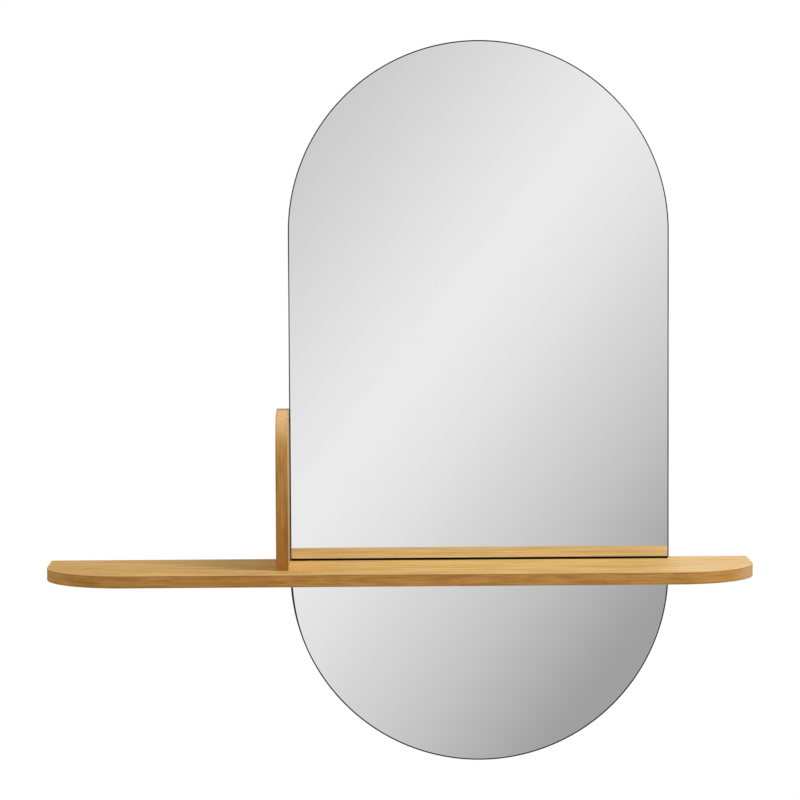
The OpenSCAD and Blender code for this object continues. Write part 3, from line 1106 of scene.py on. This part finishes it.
@dataclass(frozen=True)
class Screw:
    """Countersunk wood screw with a cross recess, a smooth neck and a rolled thread.

    Its width is the head's. The sizes of the slots are over the radius of the head, and the
    thread's share is its depth over the radius of the shank.
    """

    width: float
    shank_d: float
    slot_half: float = 0.13
    slot_reach: float = 0.56
    slot_soft: float = 0.10
    thread_pitch: float = 1.8 * MM
    thread_share: float = 0.30
    neck_share: float = 0.3
    point: float = 4.0 * MM
    cols: int = 40
    head_rows: int = 15

    def skin(self, length: float) -> Skin:
        """Surface from the middle of the recess over the head and down the thread to the tip.

        On the head the height is minus the depth of a cross of two rounded slots. Under it a
        cone narrows to the neck. The thread is a ridge whose phase is height over pitch less
        the angle's share of a turn, and it fades in below the neck and out at the point.

        Args:
            length: Length of the whole screw.

        Returns:
            The screw with the top of its head at z = 0, pointing down.
        """
        head_r, shank_r = self.width / 2, self.shank_d / 2
        angle = np.arange(self.cols) * (TURN / self.cols)
        reach = np.linspace(0.03, 0.93, self.head_rows)[:, None] * head_r
        u, v = reach * np.cos(angle), reach * np.sin(angle)
        slot_reach, soft = head_r * self.slot_reach, head_r * self.slot_soft

        def slot(across: Array, along: Array) -> Array:
            """1 in a slot and 0 outside, with soft walls."""
            wall = np.clip((head_r * self.slot_half + soft - np.abs(across)) / soft, 0, 1)
            return wall * np.clip((slot_reach + soft - np.abs(along)) / soft, 0, 1)

        depth = head_r * (0.62 - 0.35 * np.hypot(u, v) / slot_reach)
        recess = -np.maximum(slot(u, v), slot(v, u)) * np.clip(depth, 0, None)
        neck_z = shank_r - head_r
        thread_top = neck_z - self.neck_share * length
        stations = np.arange(thread_top, -length + 0.2 * MM, -self.thread_pitch / 6)[:, None]
        phase = stations / self.thread_pitch - angle / TURN
        ridge = np.clip(1 - np.abs(2 * (phase % 1.0) - 1) * 1.7, 0, 1)
        fade = np.clip((thread_top - stations) / self.thread_pitch, 0, 1)
        taper = np.clip((stations + length) / self.point, 0.03, 1)
        core = shank_r * (1 - self.thread_share * fade)
        shaft = (core + ridge * self.thread_share * shank_r * fade) * taper
        rows = [
            (reach, recess),
            (head_r * 0.985, -0.04 * MM),
            (head_r, -0.15 * MM),
            (shank_r, neck_z),
            (shaft, stations),
            (0.02 * shank_r, -length),
        ]
        around = np.ones((1, self.cols))
        radius, height = (np.concatenate([around * part for part in parts]) for parts in zip(*rows))
        return Skin(revolved(radius, height, self.cols))


@dataclass(frozen=True)
class Dowel:
    """Beech dowel with chamfered ends and shallow flutes along its length."""

    width: float
    chamfer: float = 1.0 * MM
    flutes: int = 16
    flute_depth: float = 0.25 * MM
    cols: int = 96

    def skin(self, length: float) -> Skin:
        """Surface of the dowel: a cylinder whose radius dips at each flute.

        The dip is the fourth power of half of one plus the cosine of the flutes' angle.

        Args:
            length: Length of the dowel.

        Returns:
            The dowel from z = 0 down to minus its length.
        """
        angle = np.arange(self.cols) * (TURN / self.cols)
        dip = self.flute_depth * (0.5 + 0.5 * np.cos(self.flutes * angle)) ** 4
        full = self.width / 2
        radius = np.array([[full - self.chamfer], [full], [full], [full - self.chamfer]])
        height = -np.array([[0.0], [self.chamfer], [length - self.chamfer], [length]])
        smooth = np.array([[False], [True], [False]])
        return Skin(revolved(radius - dip, height, self.cols), smooth)


@dataclass
class Fasteners:
    """Screws and dowels that hold shelf, fin and panel rail."""

    board_screw: Screw = Screw(8.5 * MM, 4.0 * MM)
    rail_screw: Screw = Screw(7.0 * MM, 3.5 * MM)
    beech: Speckled = Speckled(
        "beech_dowel",
        base=(0.640, 0.440, 0.270),
        speck=(0.430, 0.265, 0.145),
        grain_per_metre=(1200.0, 130.0, 1200.0),
        speck_share=0.6,
        roughness=0.6,
        relief=0.05 * MM,
    )

    @staticmethod
    def dowel(node: str, axis: int) -> Dowel:
        """Dowel that is as wide as the box of its node along an axis."""
        low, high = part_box(node)
        return Dowel(high[axis] - low[axis])

    @staticmethod
    def row(fastener: Screw | Dowel, node: str, down: Triple, axis: int, count: int) -> list[Skin]:
        """Equal fasteners spread along an axis so that they fill the box of a node.

        Their tops lie on the face of the box that they point away from, and they are as long
        as the box is deep from there.

        Args:
            fastener: Kind of fastener.
            node: Node of the frame.
            down: Direction in which the fasteners point.
            axis: Index of the axis along which they are spread.
            count: Number of fasteners.

        Returns:
            The fasteners.
        """
        low, high = (np.array(corner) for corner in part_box(node))
        size = high - low
        tops = np.tile((low + high - size * down) / 2, (count, 1))
        margin = fastener.width / 2
        tops[:, axis] = np.linspace(low[axis] + margin, high[axis] - margin, count)
        skin = fastener.skin(abs(size @ down))
        return [skin.moved(top, axes_pointing(down)) for top in tops]

    def build(self) -> None:
        """Adds every group of screws and dowels where the frame has them."""
        zinc = ZincPlate().material(), "zinc_screw"
        beech = self.beech.material(), "beech_dowel"
        shelf_dowel, fin_dowel = self.dowel("shelf_dowels", 2), self.dowel("fin_dowel", 0)
        for name, node, kind, look, down, axis, count in (
            ("threaded_shelf_screws", "shelf_screws", self.board_screw, zinc, TO_FRONT, 0, 4),
            ("threaded_rail_screws", "panel_rail_screws", self.rail_screw, zinc, TO_FRONT, 0, 4),
            ("threaded_fin_screws", "fin_screws", self.board_screw, zinc, UPWARDS, 1, 2),
            ("fluted_shelf_dowels", "shelf_dowels", shelf_dowel, beech, TO_FRONT, 0, 3),
            ("fluted_fin_dowel", "fin_dowel", fin_dowel, beech, DOWNWARDS, 0, 1),
        ):
            add_piece(name, self.row(kind, node, down, axis, count), *look, [node])


@dataclass
class HangingRails:
    """Pair of hooked aluminium rails that hang the panel on the wall."""

    def build(self) -> None:
        """Dresses both rails."""
        dress(Aluminium().material(), "wall_rail", "panel_rail")


# ---- studio


@dataclass(frozen=True)
class Lamp:
    """Flat soft lamp, as long as its size and as wide as a share of it."""

    name: str
    place: Triple
    aim: Triple
    size: float
    share: float
    watts: float
    tint: Colour = (1.0, 1.0, 1.0)

    def build(self) -> None:
        """Adds the lamp, turned to what it is aimed at."""
        light = bpy.data.lights.new(self.name, "AREA")
        light.color = self.tint
        light.shape = "RECTANGLE"
        light.size = self.size * self.share
        light.size_y = self.size
        light.energy = self.watts
        lamp = add_object(self.name, light)
        lamp.location = self.place
        way = Vector(self.aim) - Vector(self.place)
        lamp.rotation_euler = way.to_track_quat("-Z", "Y").to_euler()
        log.info("%s: %.0f watts", self.name, self.watts)


@dataclass
class Studio:
    """Camera, lamps, pale floor and a soft white room round the mirror.

    The room has its own levels in front, behind, overhead and below. Metal and glass see one
    even level instead, save for the glow, which has pairs of a place on its axis and a level.
    """

    camera_place: Triple = (-0.17954, -4.52349, -0.0002)
    camera_turn: Triple = (85.924, 0.2925, -0.9823)
    focal_length: float = 154.35
    front_left: Colour = (0.34, 0.335, 0.32)
    front_right: Colour = (0.52, 0.515, 0.50)
    behind_left: Colour = (1.10, 0.95, 0.60)
    behind_right: Colour = (0.08, 0.08, 0.08)
    overhead: Colour = (0.40, 0.385, 0.36)
    below: Colour = (0.23, 0.23, 0.23)
    mirrored: Colour = (0.78, 0.78, 0.78)
    white: Colour = (1.0, 1.0, 1.0)
    glow_slant: float = 0.778
    glow_span: Pair = (-0.45, 0.95)
    glow_levels: tuple[Pair, ...] = (
        (-0.42, 0.50), (-0.01, 0.655), (0.055, 0.868), (0.066, 0.893), (0.080, 0.880),
        (0.100, 0.815), (0.148, 0.607), (0.192, 0.376), (0.42, 0.42), (0.90, 0.60),
    )
    floor_height: float = -1.5
    floor_radius: float = 2.4
    floor_cols: int = 96
    floor_white: float = 0.5
    lamps: tuple[Lamp, ...] = (
        Lamp("key_lamp", (1.0, -0.55, 1.3), (0.0, -0.1, -0.45), 1.7, 0.35, 30.5, (0.97, 1.0, 1.10)),
        Lamp("rim_lamp", (0.6, 1.6, 0.15), (0.2, -0.1, -0.54), 0.9, 1.0, 3.7),
    )

    def build(self) -> None:
        """Adds the whole studio."""
        self.build_camera()
        self.build_world()
        self.build_floor()
        for lamp in self.lamps:
            lamp.build()
        bpy.context.scene.view_settings.view_transform = "Standard"

    def build_camera(self) -> None:
        """Adds the camera at the place, angle and focal length fitted to the photograph."""
        data = bpy.data.cameras.new("camera")
        data.lens = self.focal_length
        data.clip_end = 50.0
        camera = add_object("camera", data)
        camera.location = self.camera_place
        camera.rotation_euler = Euler([math.radians(a) for a in self.camera_turn])
        bpy.context.scene.camera = camera

    def build_world(self) -> None:
        """Lights the room by direction: a slanting soft glow in front and plain levels round it.

        The mirror shows the glow. It runs along one slanting axis, rises to a band and then
        falls off to a darker side.
        """
        world = bpy.data.worlds.new("soft_room")
        bpy.context.scene.world = world
        graph = Graph(world)
        x, y, z = graph.axes(graph.node("ShaderNodeTexCoord", output="Generated"))
        low, high = self.glow_span
        stops = [((q - low) / (high - low), (v, v, v)) for q, v in self.glow_levels]
        glow = graph.colours((x - z * self.glow_slant - low) / (high - low), stops)
        in_front = graph.mix(x.ramp(-0.35, 0.35), self.front_left, self.front_right)
        behind = graph.mix(x.ramp(-0.15, 0.30), self.behind_left, self.behind_right)
        room = graph.mix(y.ramp(-0.12, 0.25), in_front, behind)
        room = graph.mix(z.ramp(0.30, 0.80), room, self.overhead)
        room = graph.mix(z.ramp(-0.40, -0.90), room, self.below)
        room = graph.mix(graph.seen_by(*IN_METAL_AND_GLASS), room, self.mirrored)
        ahead = (x * x + z * z).ramp(0.20, 0.05) * y.ramp(0.25, -0.12)
        room = graph.mix(ahead, room, glow)
        colour = graph.mix(graph.seen_by("Is Camera Ray"), room, self.white)
        background = graph.node("ShaderNodeBackground", inputs={"Color": colour, "Strength": 1.0})
        graph.show(background, "ShaderNodeOutputWorld")

    def build_floor(self) -> None:
        """Adds a pale round floor that fades out towards its rim."""
        angle = np.arange(self.floor_cols) * (TURN / self.floor_cols)
        ring = np.stack([np.cos(angle), np.sin(angle), 0 * angle], -1) * self.floor_radius
        mesh = bpy.data.meshes.new("floor")
        mesh.from_pydata(ring + (0, 0, self.floor_height), [], [list(range(self.floor_cols))])
        graph = Graph(bpy.data.materials.new("pale_floor"))
        x, y, _ = graph.axes()
        colour = graph.mix(graph.noise(3.0, 2.0), (0.86, 0.86, 0.86), (0.90, 0.90, 0.895))
        values = {"Base Color": colour, "Roughness": 0.7}
        matt = graph.node("ShaderNodeBsdfPrincipled", inputs=values)
        white = graph.node("ShaderNodeEmission", inputs={"Strength": 1.0})
        clear = graph.node("ShaderNodeBsdfTransparent")
        seen = graph.seen_by("Is Camera Ray", *IN_METAL_AND_GLASS) * self.floor_white
        pale = graph.node("ShaderNodeMixShader", inputs={0: seen, 1: matt, 2: white})
        fade = ((x * x + y * y) / self.floor_radius**2).ramp(0.25, 0.95)
        faded = graph.node("ShaderNodeMixShader", inputs={0: fade, 1: pale, 2: clear})
        mesh.materials.append(graph.show(faded))
        floor = add_object("floor", mesh)


# ---- making it


def main() -> None:
    """Builds every sub-assembly and the studio."""
    logging.basicConfig(level=logging.INFO, format="%(name)s %(message)s")
    core = Fibreboard().material()
    MirrorPlates().build()
    BackPanel().build()
    Shelf().build(core)
    Fin().build(core)
    Fasteners().build()
    HangingRails().build()
    Studio().build()


if __name__ == "__main__":
    main()
